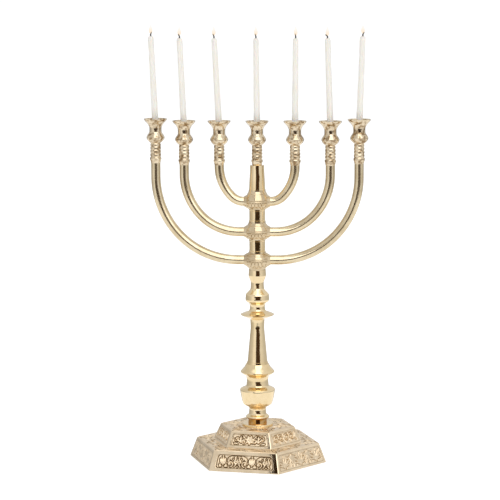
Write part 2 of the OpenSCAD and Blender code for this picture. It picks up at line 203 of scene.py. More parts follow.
def polished_brass(name, painted_reflection_heights=None):
    """Buffed brass with polishing ripples and fine tool lines, and an orange reflection of the foot ring and base
    painted between two heights.
    """
    material, g = new_material(name)
    place = g.add("ShaderNodeTexCoord").outputs["Object"]
    clouds = g.noise(place, 55.0, 4.0, 0.6)
    ripples = g.noise(place, 150.0, 2.0, 0.4)
    tool_lines = g.noise(g.stretch(place, (260, 260, 5200)), 1.0, 3.0, 0.6)
    pits = g.noise(place, 2600.0, 2.0, 0.7)
    colour = g.mix(g.remap(clouds, 0.35, 0.72), BRASS_LIGHT, BRASS_DEEP)
    # Paints the orange reflection of the foot ring and base between the two heights
    if painted_reflection_heights:
        height = g.add("ShaderNodeSeparateXYZ", {0: place}).outputs[2]
        painted_reflection_band = inside(g, height, *painted_reflection_heights, 0.0004)
        colour = g.mix(g.math("MULTIPLY", painted_reflection_band, g.remap(ripples, 0.3, 0.6, 0.6, 1.0)), colour, PAINTED_ORANGE_REFLECTION)
    roughness = g.math("ADD", g.remap(clouds, 0.3, 0.75, 0.045, 0.11), g.remap(pits, 0.5, 0.8, 0.0, 0.06))
    ripple_normal = g.bump(ripples, 0.00008)
    line_normal = g.bump(tool_lines, 0.000012, under=ripple_normal)
    shader = g.add("ShaderNodeBsdfPrincipled", {
        "Base Color": colour,
        "Metallic": 1.0,
        "Roughness": roughness,
        "Normal": line_normal,
    })
    finish_material(g, shader)
    return material


def brushed_brass(name):
    """Arms: their buffing lines lie level, so their reflections are drawn out up and down only."""
    material, g = new_material(name)
    place = g.add("ShaderNodeTexCoord").outputs["Object"]
    upright = g.add("ShaderNodeCombineXYZ", {2: 1.0}).outputs[0]
    clouds = g.noise(place, 60.0, 4.0, 0.6)
    ripples = g.noise(place, 160.0, 2.0, 0.4)
    scratches = g.noise(place, 1700.0, 3.0, 0.6)
    shader = g.add("ShaderNodeBsdfPrincipled", {
        "Base Color": g.mix(g.remap(clouds, 0.35, 0.72), ARM_LIGHT, ARM_DEEP),
        "Metallic": 1.0,
        "Roughness": g.remap(clouds, 0.3, 0.75, 0.115, 0.15),
        "Anisotropic": 0.9,
        "Tangent": upright,
        "Normal": g.bump(scratches, 0.000008, under=g.bump(ripples, 0.00012)),
    })
    finish_material(g, shader)
    return material


def cup_brass(name):
    """Cups cast in sand and buffed by hand: lumpy, with browned hollows and bright worn crests."""
    material, g = new_material(name)
    place = g.add("ShaderNodeTexCoord").outputs["Object"]
    lumps = g.noise(place, 270.0, 2.0, 0.5)
    grain = g.noise(place, 1500.0, 3.0, 0.6)
    clouds = g.noise(place, 120.0, 4.0, 0.6)
    metal = g.mix(g.remap(clouds, 0.35, 0.7), CUP_LIGHT, CUP_DEEP)
    stain = g.math("MULTIPLY", g.remap(lumps, 0.53, 0.36), g.remap(clouds, 0.3, 0.6, 0.4, 1.0))
    colour = g.mix(stain, metal, CUP_BROWN)
    lump_normal = g.bump(lumps, 0.00012)
    shader = g.add("ShaderNodeBsdfPrincipled", {
        "Base Color": colour,
        "Metallic": 1.0,
        "Roughness": g.remap(grain, 0.3, 0.8, 0.10, 0.2),
        "Normal": g.bump(grain, 0.00002, under=lump_normal),
    })
    finish_material(g, shader)
    return material


def cast_brass(name, plain=(0.26, 0.4), ripple=0.00014, light=CAST_LIGHT, deep=CAST_DEEP):
    """Cast brass: buffed high points over a browned ground, with the fine grain of the mould."""
    material, g = new_material(name)
    place = g.add("ShaderNodeTexCoord").outputs["Object"]
    depth = g.add("ShaderNodeAttribute", attribute_name="recess").outputs["Fac"]
    buffed = g.add("ShaderNodeAttribute", attribute_name="buffed").outputs["Fac"]
    clouds = g.noise(place, 90.0, 4.0, 0.6)
    grain = g.noise(place, 1400.0, 4.0, 0.65)
    ripples = g.noise(place, 210.0, 2.0, 0.5)
    metal = g.mix(g.remap(clouds, 0.35, 0.7), light, deep)
    stain = g.mix(g.remap(depth, 0.55, 1.0), PATINA, PATINA_DARK)
    worn = g.math("MULTIPLY", g.remap(depth, 0.05, 0.75), g.remap(clouds, 0.15, 0.6, 0.75, 1.0))
    colour = g.mix(worn, metal, stain)
    rough = g.math("ADD", g.remap(grain, 0.3, 0.8, *plain), g.math("MULTIPLY", depth, 0.3))
    roughness = g.math("MULTIPLY", rough, g.remap(buffed, 0.0, 1.0, 1.0, 0.02))
    raw = g.remap(buffed, 0.0, 1.0, 1.0, 0.03)
    ripple_normal = g.bump(ripples, ripple, raw)
    grain_normal = g.bump(grain, 0.00003 * plain[1] / 0.4, raw, under=ripple_normal)
    shader = g.add("ShaderNodeBsdfPrincipled", {
        "Base Color": colour,
        "Metallic": 1.0,
        "Roughness": roughness,
        "Normal": grain_normal,
    })
    finish_material(g, shader)
    return material


def zinc_steel(name):
    """Zinc plated steel of the clamping hardware, with spangle and thread lines."""
    material, g = new_material(name)
    place = g.add("ShaderNodeTexCoord").outputs["Object"]
    spangle = g.noise(place, 700.0, 3.0, 0.6)
    scratches = g.noise(g.stretch(place, (400, 400, 7000)), 1.0, 3.0, 0.6)
    colour = g.mix(g.remap(spangle, 0.35, 0.7), (0.62, 0.61, 0.57, 1), (0.42, 0.41, 0.38, 1))
    shader = g.add("ShaderNodeBsdfPrincipled", {
        "Base Color": colour,
        "Metallic": 1.0,
        "Roughness": g.remap(spangle, 0.3, 0.8, 0.28, 0.45),
        "Normal": g.bump(scratches, 0.00003),
    })
    finish_material(g, shader)
    return material


def candle_wax(name):
    """White candle wax with light passing through it, a satin skin and faint streaks along its length."""
    material, g = new_material(name)
    place = g.add("ShaderNodeTexCoord").outputs["Object"]
    streaks = g.noise(g.stretch(place, (700, 700, 60)), 1.0, 3.0, 0.6)
    mottle = g.noise(place, 420.0, 3.0, 0.6)
    soot = g.add("ShaderNodeAttribute", attribute_name="soot").outputs["Fac"]
    white = g.mix(g.remap(streaks, 0.3, 0.75), (0.785, 0.765, 0.72, 1), (0.745, 0.72, 0.665, 1))
    colour = g.mix(soot, white, (0.46, 0.38, 0.28, 1))
    shader = g.add("ShaderNodeBsdfPrincipled", {
        "Base Color": colour,
        "Roughness": g.remap(mottle, 0.3, 0.7, 0.34, 0.5),
        "Subsurface Weight": 0.35,
        "Subsurface Radius": (1.0, 0.72, 0.45),
        "Subsurface Scale": 0.0018,
        "IOR": 1.44,
        "Normal": g.bump(mottle, 0.00004),
    })
    finish_material(g, shader)
    return material


def charred_cotton(name):
    """Burnt wick: black braided cotton with a grey ash bloom."""
    material, g = new_material(name)
    place = g.add("ShaderNodeTexCoord").outputs["Object"]
    braid = g.add("ShaderNodeTexWave", {"Vector": place, "Scale": 900.0, "Distortion": 4.0},
                  bands_direction="DIAGONAL").outputs["Fac"]
    ash = g.noise(place, 2600.0, 3.0, 0.7)
    colour = g.mix(g.remap(ash, 0.5, 0.8), (0.012, 0.010, 0.009, 1), (0.09, 0.075, 0.06, 1))
    shader = g.add("ShaderNodeBsdfPrincipled", {
        "Base Color": colour,
        "Roughness": g.remap(ash, 0.3, 0.8, 0.75, 0.95),
        "Normal": g.bump(braid, 0.0001),
    })
    finish_material(g, shader)
    return material


def faint_flame(name):
    """Pale flame that only just shows against a white room, warmer near the wick."""
    material, g = new_material(name)
    warmth = g.add("ShaderNodeAttribute", attribute_name="warmth").outputs["Fac"]
    glow = g.mix(warmth, (1.0, 0.90, 0.82, 1), (1.0, 0.72, 0.42, 1))
    shader = g.add("ShaderNodeBsdfPrincipled", {
        "Base Color": (0.0, 0.0, 0.0, 1),
        "Emission Color": glow,
        "Emission Strength": 1.0,
        "Specular IOR Level": 0.0,
        "Roughness": 1.0,
        "Alpha": g.remap(warmth, 0.0, 1.0, 0.16, 0.42),
    })
    finish_material(g, shader)
    return material


def pale_floor(name):
    """Seamless white studio sweep, lit almost to pure white, with a faint paper grain."""
    material, g = new_material(name)
    place = g.add("ShaderNodeTexCoord").outputs["Object"]
    grain = g.noise(place, 300.0, 3.0, 0.6)
    colour = g.mix(g.remap(grain, 0.3, 0.7), (0.90, 0.90, 0.90, 1), (0.88, 0.88, 0.88, 1))
    shader = g.add("ShaderNodeBsdfPrincipled", {
        "Base Color": colour,
        "Roughness": 0.9,
        "Specular IOR Level": 0.0,
        "Emission Color": (1.0, 1.0, 1.0, 1),
        "Emission Strength": 0.32,
    })
    finish_material(g, shader)
    return material


# ======== studio ========

# The room seen in the brass, in degrees: compass direction from the camera's side towards +X, and
# height. Each wall light is a direction and a brightness, below and above eye level.
LOW_WALLS = [
    (-180, 0.50), (-120, 0.50), (-70, 0.68), (-45, 1.0), (50, 0.80), (75, 0.72), (96, 0.60), (180, 0.50),
]
HIGH_WALLS = [(-180, 0.74), (-142, 0.64), (-70, 0.76), (-24, 0.80), (40, 0.95), (95, 0.85), (180, 0.74)]
EYE_LEVEL = (2, 6)
FLOOR_EDGE = (-19, -15)
FLOOR_GLOW = 1.05
CEILING = (58, 70)
CEILING_LIGHT = 1.25
BACKDROP_GLOW = 1.05
# Left and right edge of the unlit camera end of the room, each by height
DARK_LEFT = [(-15.5, 0), (-12.5, -26), (-10, -32), (-8, -36), (-5.5, -30), (-3, -20), (7, -15)]
DARK_RIGHT = [(-15.5, 2), (-12.5, 28), (-10, 42), (-8, 50), (-5.5, 30), (-2, 28), (2, 40), (7, 48)]
DARK_HEIGHT = (-15.5, 7)
# It is nearly black below and brown above, and changes between these two heights
DARK_COLOUR = (0.036, 0.023, 0.011, 1)
DARK_BROWN = (0.06, 0.033, 0.016, 1)
BROWN_FROM = (-7.5, -4.5)
SOFT_BOX = {"left": -24, "right": 46, "low": 9, "high": 84}
SOFT_BOX_COLOUR = (1.9, 1.9, 1.9, 1)
# Slim dark stand beside the soft box: it leans, so its edges shift with height
STAND = {"left": -26.34, "right": -21.5, "low": 10, "high": 38, "lean": -0.137, "level": 22.8}


def inside(g, value, low, high, soft):
    """1 where value lies between two edges that are soft by a number of degrees each way."""
    above = g.remap(g.math("SUBTRACT", value, low), -soft, soft)
    below = g.remap(g.math("SUBTRACT", high, value), -soft, soft)
    return g.math("MULTIPLY", above, below)


def by_height(g, rise, stops):
    """Direction in degrees that changes with height."""
    share = g.math("DIVIDE", g.math("ADD", rise, 90.0), 180.0)
    level = g.ramp(share, [((height + 90) / 180, (a + 180) / 360) for height, a in stops])
    return g.math("SUBTRACT", g.math("MULTIPLY", level, 360.0), 180.0)


def studio_world():
    """Room seen in the brass: its walls, a soft box, a dark camera end, a slim stand and a bright table."""
    world = bpy.data.worlds.new("studio")
    bpy.context.scene.world = world
    world.use_nodes = True
    g = Graph(world.node_tree)
    direction = g.add("ShaderNodeTexCoord").outputs["Generated"]
    x, y, z = g.add("ShaderNodeSeparateXYZ", {0: direction}).outputs
    turn = g.math("ARCTAN2", x, g.math("MULTIPLY", y, -1.0))
    turn = g.math("MULTIPLY", g.math("SUBTRACT", turn, CAMERA_AZIMUTH), 180 / math.pi)
    share = g.math("DIVIDE", g.math("ADD", turn, 180.0), 360.0)
    rise = g.math("MULTIPLY", g.math("ARCSINE", z), 180 / math.pi)
    low, high = (
        g.ramp(share, [((a + 180) / 360, light) for a, light in walls])
        for walls in (LOW_WALLS, HIGH_WALLS)
    )
    room = g.mix(g.remap(rise, *EYE_LEVEL), low, high)
    room = g.mix(g.remap(rise, *CEILING), room, (CEILING_LIGHT,) * 3 + (1,))
    box = g.math("MULTIPLY", inside(g, turn, SOFT_BOX["left"], SOFT_BOX["right"], 1.5),
                 inside(g, rise, SOFT_BOX["low"], SOFT_BOX["high"], 1.5))
    room = g.mix(box, room, SOFT_BOX_COLOUR)
    left, right = by_height(g, rise, DARK_LEFT), by_height(g, rise, DARK_RIGHT)
    dark = g.math("MULTIPLY", inside(g, turn, left, right, 1.5), inside(g, rise, *DARK_HEIGHT, 1.0))
    room = g.mix(dark, room, g.mix(g.remap(rise, *BROWN_FROM), DARK_COLOUR, DARK_BROWN))
    room = g.mix(g.remap(rise, *FLOOR_EDGE, 1.0, 0.0), room, (FLOOR_GLOW,) * 3 + (1,))
    lean = g.math("MULTIPLY", g.math("SUBTRACT", rise, STAND["level"]), STAND["lean"])
    upright = g.math("SUBTRACT", turn, lean)
    stand = g.math("MULTIPLY", inside(g, upright, STAND["left"], STAND["right"], 0.02),
                   inside(g, rise, STAND["low"], STAND["high"], 1.0))
    room = g.mix(stand, room, DARK_COLOUR)
    light = g.add("ShaderNodeBackground", {"Color": room})
    backdrop = g.add("ShaderNodeBackground", {"Color": (1, 1, 1, 1), "Strength": BACKDROP_GLOW})
    seen = g.add("ShaderNodeLightPath").outputs["Is Camera Ray"]
    both = g.add("ShaderNodeMixShader", {0: seen, 1: light.outputs[0], 2: backdrop.outputs[0]})
    g.add("ShaderNodeOutputWorld", {"Surface": both.outputs[0]})


def studio_camera():
    camera = bpy.data.objects.new("camera", bpy.data.cameras.new("camera"))
    bpy.context.scene.collection.objects.link(camera)
    bpy.context.scene.camera = camera
    camera.data.lens = CAMERA_LENS
    camera.data.sensor_width = SENSOR_WIDTH
    camera.data.clip_end = 20
    place = Matrix.Translation((
        CAMERA_DISTANCE * math.sin(CAMERA_AZIMUTH),
        -CAMERA_DISTANCE * math.cos(CAMERA_AZIMUTH),
        CAMERA_HEIGHT,
    ))
    heading = Matrix.Rotation(CAMERA_HEADING, 4, "Z")
    tilt = Matrix.Rotation(math.pi / 2 - CAMERA_PITCH, 4, "X")
    roll = Matrix.Rotation(CAMERA_ROLL, 4, "Z")
    camera.matrix_world = place @ heading @ tilt @ roll


def studio_floor():
    """Large pale plane under the base. Reflections see the room's own bright table instead."""
    reach = 4.0
    z = cad_bounds[0][2] - 0.0002
    corners = [(-reach, -reach, z), (reach, -reach, z), (reach, reach, z), (-reach, reach, z)]
    floor = mesh_object("studio_floor", corners, [(0, 1, 2, 3)], pale_floor("studio_paper"), smooth=False)
    floor.visible_glossy = False


# ======== meshes ========

def mesh_object(name, points, faces, material, smooth=True, **fields):
    """Linked mesh object; each field is a number per point, kept as an attribute."""
    mesh = bpy.data.meshes.new(name)
    mesh.from_pydata([tuple(p) for p in points], [], faces)
    mesh.polygons.foreach_set("use_smooth", [smooth] * len(mesh.polygons))
    for field, values in fields.items():
        attribute = mesh.attributes.new(field, "FLOAT", "POINT")
        attribute.data.foreach_set("value", np.asarray(values, np.float32))
    mesh.materials.append(material)
    mesh.update()
    made = bpy.data.objects.new(name, mesh)
    bpy.context.scene.collection.objects.link(made)
    return made


def grid_faces(rows, columns, first=0):
    """Quads of a grid whose points run row by row."""
    faces = []
    for j in range(rows - 1):
        for i in range(columns - 1):
            a = first + j * columns + i
            faces.append((a, a + 1, a + columns + 1, a + columns))
    return faces


def tube_faces(rings, around):
    """Quads round a tube of rings, with a closed cap at both ends."""
    faces = []
    for j in range(rings - 1):
        for i in range(around):
            a = j * around + i
            b = j * around + (i + 1) % around
            faces.append((a, b, b + around, a + around))
    faces.append(tuple(reversed(range(around))))
    faces.append(tuple((rings - 1) * around + i for i in range(around)))
    return faces


# ======== relief drawing, in millimetres ========

def curve_through(points, spacing):
    """Evenly spread points on a smooth curve through the given ones."""
    p = np.array([points[0], *points, points[-1]], float)
    found = []
    for a, b, c, d in zip(p, p[1:], p[2:], p[3:]):
        steps = max(int(np.linalg.norm(c - b) / spacing), 1)
        for t in np.arange(steps) / steps:
            found.append((2 * b + (c - a) * t + (2 * a - 5 * b + 4 * c - d) * t ** 2
                          + (3 * b - a - 3 * c + d) * t ** 3) / 2)
    found.append(p[-1])
    return np.array(found)


class Relief:
    """Heights of a cast relief over a flat field, on a fine lattice. 1 is a full-height stroke."""

    def __init__(self, half_width, low, high):
        self.left = -half_width
        self.low = low
        shape = (int((high - low) / LATTICE) + 2, int(2 * half_width / LATTICE) + 2)
        self.raised = np.zeros(shape)
        self.cut = np.zeros(shape)

    def press(self, field, x, y, r, h):
        """Round dome of radius r and height h, kept where it stands above the field."""
        c0 = max(int((x - r - self.left) / LATTICE), 0)
        c1 = min(int((x + r - self.left) / LATTICE) + 2, field.shape[1])
        r0 = max(int((y - r - self.low) / LATTICE), 0)
        r1 = min(int((y + r - self.low) / LATTICE) + 2, field.shape[0])
        if c0 >= c1 or r0 >= r1:
            return
        xs = self.left + LATTICE * np.arange(c0, c1) - x
        ys = self.low + LATTICE * np.arange(r0, r1) - y
        near = 1 - (xs[None, :] ** 2 + ys[:, None] ** 2) / r ** 2
        part = field[r0:r1, c0:c1]
        np.maximum(part, h * np.sqrt(np.clip(near, 0, 1)), out=part)

    def boss(self, x, y, r, h=1.0):
        self.press(self.raised, x, y, r, h)

    def rib(self, points, width, h=1.0, ends=0.35, swell=0.0):
        """Raised stroke; its half width tapers towards both ends and may swell in the middle."""
        path = curve_through(points, LATTICE * 1.4)
        for t, (x, y) in zip(np.linspace(0, 1, len(path)), path):
            full = ends + (1 - ends) * math.sin(math.pi * t) ** (0.5 + swell)
            self.press(self.raised, x, y, max(width / 2 * full, LATTICE), h * math.sqrt(full))

    def vein(self, points, width=0.5, depth=0.5):
        """Cut line along a path."""
        for x, y in curve_through(points, LATTICE * 1.4):
            self.press(self.cut, x, y, width / 2 + LATTICE, depth)

    def heights(self, ground=0.6, trench=0.85):
        """Raised strokes with a trench round each, on a plain ground, softened as a casting is."""
        shapes = self.raised > 0.25
        near = shapes.copy()
        for _ in range(round(trench / LATTICE)):
            wide = np.pad(near, 1)
            near = near | wide[:-2, 1:-1] | wide[2:, 1:-1] | wide[1:-1, :-2] | wide[1:-1, 2:]
        field = np.where(shapes, self.raised, np.where(near, 0.0, ground))
        field = np.clip(field - self.cut * (self.raised > 0.05), 0, None)
        soft = np.pad(field, 1, mode="edge")
        return (4 * field + soft[:-2, 1:-1] + soft[2:, 1:-1] + soft[1:-1, :-2] + soft[1:-1, 2:]) / 8

    def at(self, field, xs, ys):
        """Field values at points, blended between lattice places."""
        c = np.clip((xs - self.left) / LATTICE, 0, field.shape[1] - 1.001)
        r = np.clip((ys - self.low) / LATTICE, 0, field.shape[0] - 1.001)
        ci, ri = c.astype(int), r.astype(int)
        fc, fr = c - ci, r - ri
        top = field[ri, ci] * (1 - fc) + field[ri, ci + 1] * fc
        bottom = field[ri + 1, ci] * (1 - fc) + field[ri + 1, ci + 1] * fc
        return top * (1 - fr) + bottom * fr


def heading(x, y, angle, length, bend=0.0, steps=4):
    """Points that set out at an angle and turn by bend over their length."""
    points = [(x, y)]
    for i in range(steps):
        a = angle + bend * (i + 0.5) / steps
        x += length / steps * math.cos(a)
        y += length / steps * math.sin(a)
        points.append((x, y))
    return points


def leaf(relief, x, y, angle, length, width, bend=0.0, h=1.0):
    """Pointed leaf with a cut middle vein."""
    points = heading(x, y, angle, length, bend)
    relief.rib(points, width, h, ends=0.12, swell=0.2)
    relief.vein(points[1:-1], 0.35, 0.45 * h)


def volute(relief, x, y, r, start, turns, width, h=1.0):
    """Spiral that winds in to a bead."""
    count = max(int(abs(turns) * 10), 4)
    points = []
    for i in range(count + 1):
        t = i / count
        a = start + turns * TAU * t
        points.append((x + r * (1 - 0.78 * t) * math.cos(a), y + r * (1 - 0.78 * t) * math.sin(a)))
    relief.rib(points, width, h, ends=0.6)
    relief.boss(x, y, width * 0.62, h)


def flower(relief, x, y, r, petals, h=1.0):
    """Ring of petals round a bead."""
    for k in range(petals):
        a = TAU * (k + 0.25) / petals
        leaf(relief, x + 0.3 * r * math.cos(a), y + 0.3 * r * math.sin(a), a, 0.72 * r, 0.62 * r, 0.0, h)
    relief.boss(x, y, 0.3 * r, h)


def fan(relief, x, y, angle, length, width, count, spread, h=1.0):
    """Leaves that spread from one point, the longest in the middle."""
    for k in range(count):
        side = 2 * k / (count - 1) - 1
        reach = length * (1 - 0.25 * side * side)
        leaf(relief, x, y, angle + side * spread, reach, width, side * 0.6, h)


# ======== relief patterns ========

def palmette(relief, x, low, high):
    """Upright leaf between two volutes, a bead at its head."""
    tall = high - low
    leaf(relief, x, low + 0.16 * tall, UP, 0.7 * tall, 3.0)
    for side in (-1, 1):
        leaf(relief, x + side * 1.3, low + 0.3 * tall, UP - side * 0.6, 0.55 * tall, 2.3, side * 1.1)
        volute(relief, x + side * 2.5, low + 0.16 * tall, 1.7, UP, -side * 0.9, 1.5)
    relief.boss(x, high - 0.06 * tall, 1.1)


def lyre(relief, x, low, high):
    """Two back-to-back scrolls round a flower."""
    tall = high - low
    middle = (low + high) / 2
    for side in (-1, 1):
        relief.rib([(x + side * 3.6, low + 0.08 * tall), (x + side * 1.8, low + 0.3 * tall),
                    (x + side * 3.5, middle), (x + side * 1.9, high - 0.26 * tall),
                    (x + side * 3.3, high - 0.06 * tall)], 2.1)
        relief.boss(x + side * 1.2, high - 0.08 * tall, 0.9)
    flower(relief, x, middle, 2.7, 5)
    relief.boss(x, low + 0.1 * tall, 1.0)


def scroll_bud(relief, x, low, high, side):
    """Bold volute with a leaf thrown up over it and a bead in the corner."""
    tall = high - low
    volute(relief, x, low + 0.33 * tall, 0.25 * tall, -UP, side * 1.15, 1.8)
    leaf(relief, x - side * 2.2, low + 0.5 * tall, UP - side * 0.1, 0.48 * tall, 2.8, -side * 0.9)
    leaf(relief, x + side * 1.1, low + 0.64 * tall, UP, 0.34 * tall, 2.3, -side * 0.4)
    relief.boss(x + side * 3.0, high - 0.1 * tall, 1.0)
    relief.boss(x - side * 3.2, low + 0.1 * tall, 0.8)


def motif_row(relief, reach, low, high):
    """Close row of upright palmettes and lyres between mirrored volutes."""
    count = 2 * int(reach / 8.8) + 1
    pitch = 2 * reach / count
    for k in range(count):
        x = (k - (count - 1) / 2) * pitch
        if k % 2:
            scroll_bud(relief, x, low, high, 1 if k % 4 == 1 else -1)
        else:
            (palmette if k % 4 == 0 else lyre)(relief, x, low, high)


def frond_field(relief, reach, low, high):
    """Palm fans that spring in turn from the bottom and from the top, with a volute at each root."""
    tall = high - low
    count = 2 * int(reach / (0.75 * tall)) + 1
    pitch = 2 * reach / count
    for k in range(count):
        x = (k - (count - 1) / 2) * pitch
        up = 1 if k % 2 == 0 else -1
        root = low if up > 0 else high
        fan(relief, x, root + up * 0.12 * tall, up * UP, 0.84 * tall, 1.7, 7, 0.95)
        volute(relief, x, root + up * 0.1 * tall, 0.1 * tall, 0, up * 0.9, 1.0)


def tulip_row(relief, reach, low, high):
    """Flower in the middle, then bold volutes, tulips and leaves out to both ends."""
    tall = high - low
    flower(relief, 0, (low + high) / 2, 0.42 * tall, 7)
    for side in (-1, 1):
        volute(relief, side * 0.36 * reach, low + 0.32 * tall, 0.24 * tall, 0, side * 1.2, 1.2)
        leaf(relief, side * 0.27 * reach, low + 0.62 * tall, UP - side * 0.9, 0.42 * tall, 1.7, side * 0.5)
        fan(relief, side * 0.58 * reach, low + 0.2 * tall, UP, 0.72 * tall, 1.9, 3, 0.5)
        volute(relief, side * 0.83 * reach, low + 0.6 * tall, 0.25 * tall, math.pi, -side * 1.2, 1.25)
        leaf(relief, side * 0.72 * reach, low + 0.08 * tall, UP - side * 1.2, 0.5 * tall, 1.6, -side * 0.3)
        relief.boss(side * 0.45 * reach, high - 0.1 * tall, 0.7)
        relief.boss(side * 0.97 * reach, low + 0.12 * tall, 0.7)


def scroll_row(relief, reach, low, high):
    """Pairs of volutes with leaves thrown out between them."""
    tall = high - low
    middle = (low + high) / 2
    for side in (-1, 1):
        near, far = (0.0, math.pi) if side > 0 else (math.pi, 0.0)
        volute(relief, side * 0.24 * reach, middle, 0.33 * tall, near, side * 1.3, 1.3)
        volute(relief, side * 0.66 * reach, middle, 0.33 * tall, far, -side * 1.3, 1.3)
        for up in (-1, 1):
            leaf(relief, side * 0.45 * reach, middle + up * 0.1 * tall, up * UP, 0.34 * tall, 1.2)
            lean = up * 0.9 if side > 0 else math.pi - up * 0.9
            leaf(relief, side * 0.86 * reach, middle + up * 0.14 * tall, lean, 0.3 * tall, 1.1)
    for up in (-1, 1):
        leaf(relief, 0, middle, up * UP, 0.42 * tall, 1.4)


def running_vine(relief, reach, low, high):
    """Waving stem with a volute in each bend and leaves on its outer side."""
    tall = high - low
    middle = (low + high) / 2
    waves = 2 * max(int(reach / 11), 1)
    length = 2 * reach
    stem = []
    for k in range(8 * waves + 1):
        t = k / (8 * waves)
        stem.append((-reach + length * t, middle + 0.24 * tall * math.cos(math.pi * waves * t)))
    relief.rib(stem, 1.1, ends=1.0)
    for k in range(waves):
        x = -reach + length * (k + 0.5) / waves
        x_bend = -reach + length * k / waves
        up = 1 if k % 2 else -1
        volute(relief, x + 0.8, middle + up * 0.02 * tall, 0.2 * tall, -up * UP, up * 1.2, 1.0)
        for lean in (-0.7, 0.0, 0.7):
            leaf(relief, x_bend, middle - up * 0.26 * tall, -up * UP + lean, 0.22 * tall, 1.0)
        leaf(relief, x - 1.2, middle + up * 0.18 * tall, up * (UP + 0.7), 0.24 * tall, 1.1)
        leaf(relief, x + 2.4, middle + up * 0.2 * tall, up * (UP - 0.8), 0.24 * tall, 1.1)


# ======== relief sheets on the base ========

def rounded_frame(us, vs, half_low, half_high, low, high, inset, corner, ends=0.0):
    """0 inside a rounded opening and 1 on the plain frame round it, which is wider at both ends."""
    t = (vs - low) / (high - low)
    half = half_low + (half_high - half_low) * t - inset - ends - corner
    dx = np.abs(us) - half
    dy = np.abs(vs - (low + high) / 2) - ((high - low) / 2 - inset - corner)
    outside = np.hypot(np.maximum(dx, 0), np.maximum(dy, 0)) + np.minimum(np.maximum(dx, dy), 0) - corner
    edge = 0.55
    s = np.clip(outside / edge + 0.5, 0, 1)
    return s * s * (3 - 2 * s)


def sheet_grid(half_low, half_high, low, high):
    """Places of a relief sheet's points on its trapezium, as two arrays of rows."""
    rows = int((high - low) / RELIEF_STEP) + 2
    columns = int(2 * max(half_low, half_high) / RELIEF_STEP) + 2
    t = np.linspace(0, 1, rows)[:, None]
    s = np.linspace(-1, 1, columns)[None, :]
    vs = (low + (high - low) * t) * np.ones_like(s)
    us = (half_low + (half_high - half_low) * t) * s
    return us, vs


def smooth_step(value, low, high):
    t = np.clip((value - low) / (high - low), 0, 1)
    return t * t * (3 - 2 * t)


class Sheets:
    """Relief sheets gathered into one mesh."""

    def __init__(self):
        self.points = []
        self.recess = []
        self.buffed = []
        self.faces = []

    def add(self, us, vs, lift, recess, buffed, place):
        """One grid of points; place turns (u, v, lift) arrays into points in millimetres."""
        self.faces += grid_faces(*us.shape, first=sum(len(p) for p in self.points))
        self.points.append(place(us.ravel(), vs.ravel(), lift.ravel()))
        self.recess.append(recess.ravel())
        self.buffed.append(buffed.ravel())

    def build(self, name, material):
        points = np.concatenate(self.points) * MM
        return mesh_object(name, points, self.faces, material,
                           recess=np.concatenate(self.recess), buffed=np.concatenate(self.buffed))


def side_panel_place(tier, k):
    """Placing function of side panel k: u along the side, v up its slope, lift out of its sunk floor."""
    run_in = (tier["foot_r"] - tier["top_r"]) * HALF
    slope = math.atan2(run_in, tier["h"])
    turn = BASE_TURN + k * TAU / SIDES
    side = np.array([math.cos(turn), math.sin(turn), 0])
    out = np.array([math.sin(turn), -math.cos(turn), 0])
    up = np.array([0, 0, 1])
    along_v = -out * math.sin(slope) + up * math.cos(slope)
    normal = out * math.cos(slope) + up * math.sin(slope)
    start = out * tier["foot_r"] * HALF + up * tier["z"] - normal * PANEL_DEPTH
    return lambda u, v, lift: start + np.outer(u, side) + np.outer(v, along_v) + np.outer(lift, normal)


def side_panel_sheet(sheets, tier, k, pattern, lap, inset, corner, ends, stain):
    """Relief that fills sunk side panel k of a tier and laps over the plain border round it."""
    run_in = (tier["foot_r"] - tier["top_r"]) * HALF
    face_h = math.hypot(run_in, tier["h"])
    low = PANEL_BORDER - lap
    high = face_h - PANEL_BORDER + lap
    shrink = (tier["foot_r"] - tier["top_r"]) / face_h
    half_low = (tier["foot_r"] - shrink * low) / 2 - PANEL_BORDER + lap
    half_high = (tier["foot_r"] - shrink * high) / 2 - PANEL_BORDER + lap
    us, vs = sheet_grid(half_low, half_high, low, high)
    relief = Relief(half_low, low, high)
    margin = inset + 0.75
    pattern(relief, half_high - margin - ends, low + margin, high - margin)
    drawn = relief.at(relief.heights(), us, vs)
    field = (us, vs, half_low, half_high, low, high)
    frame_edge = rounded_frame(*field, inset, corner, ends)
    groove = rounded_frame(*field, inset + 0.65, corner, ends) * (1 - frame_edge)
    sunk = 1 - rounded_frame(*field, lap + 0.15, 0.6)
    rise = PANEL_DEPTH + SHEET_SKIN
    level = drawn * (rise + 0.3) * (1 - frame_edge) + frame_edge * rise
    level = np.where(frame_edge < 0.5, level * (1 - groove), level)
    level = np.maximum(level, rise * (1 - sunk) - 0.01)
    rim = np.zeros(us.shape, bool)
    rim[[0, -1], :] = True
    rim[:, [0, -1]] = True
    lift = np.where(rim, PANEL_DEPTH - SHEET_SKIN, level + SHEET_SKIN)
    recess = stain * np.maximum((1 - smooth_step(drawn, 0.05, 0.5)) * (1 - frame_edge), groove)
    sheets.add(us, vs, lift, recess, smooth_step(frame_edge, 0.9, 1.0), side_panel_place(tier, k))


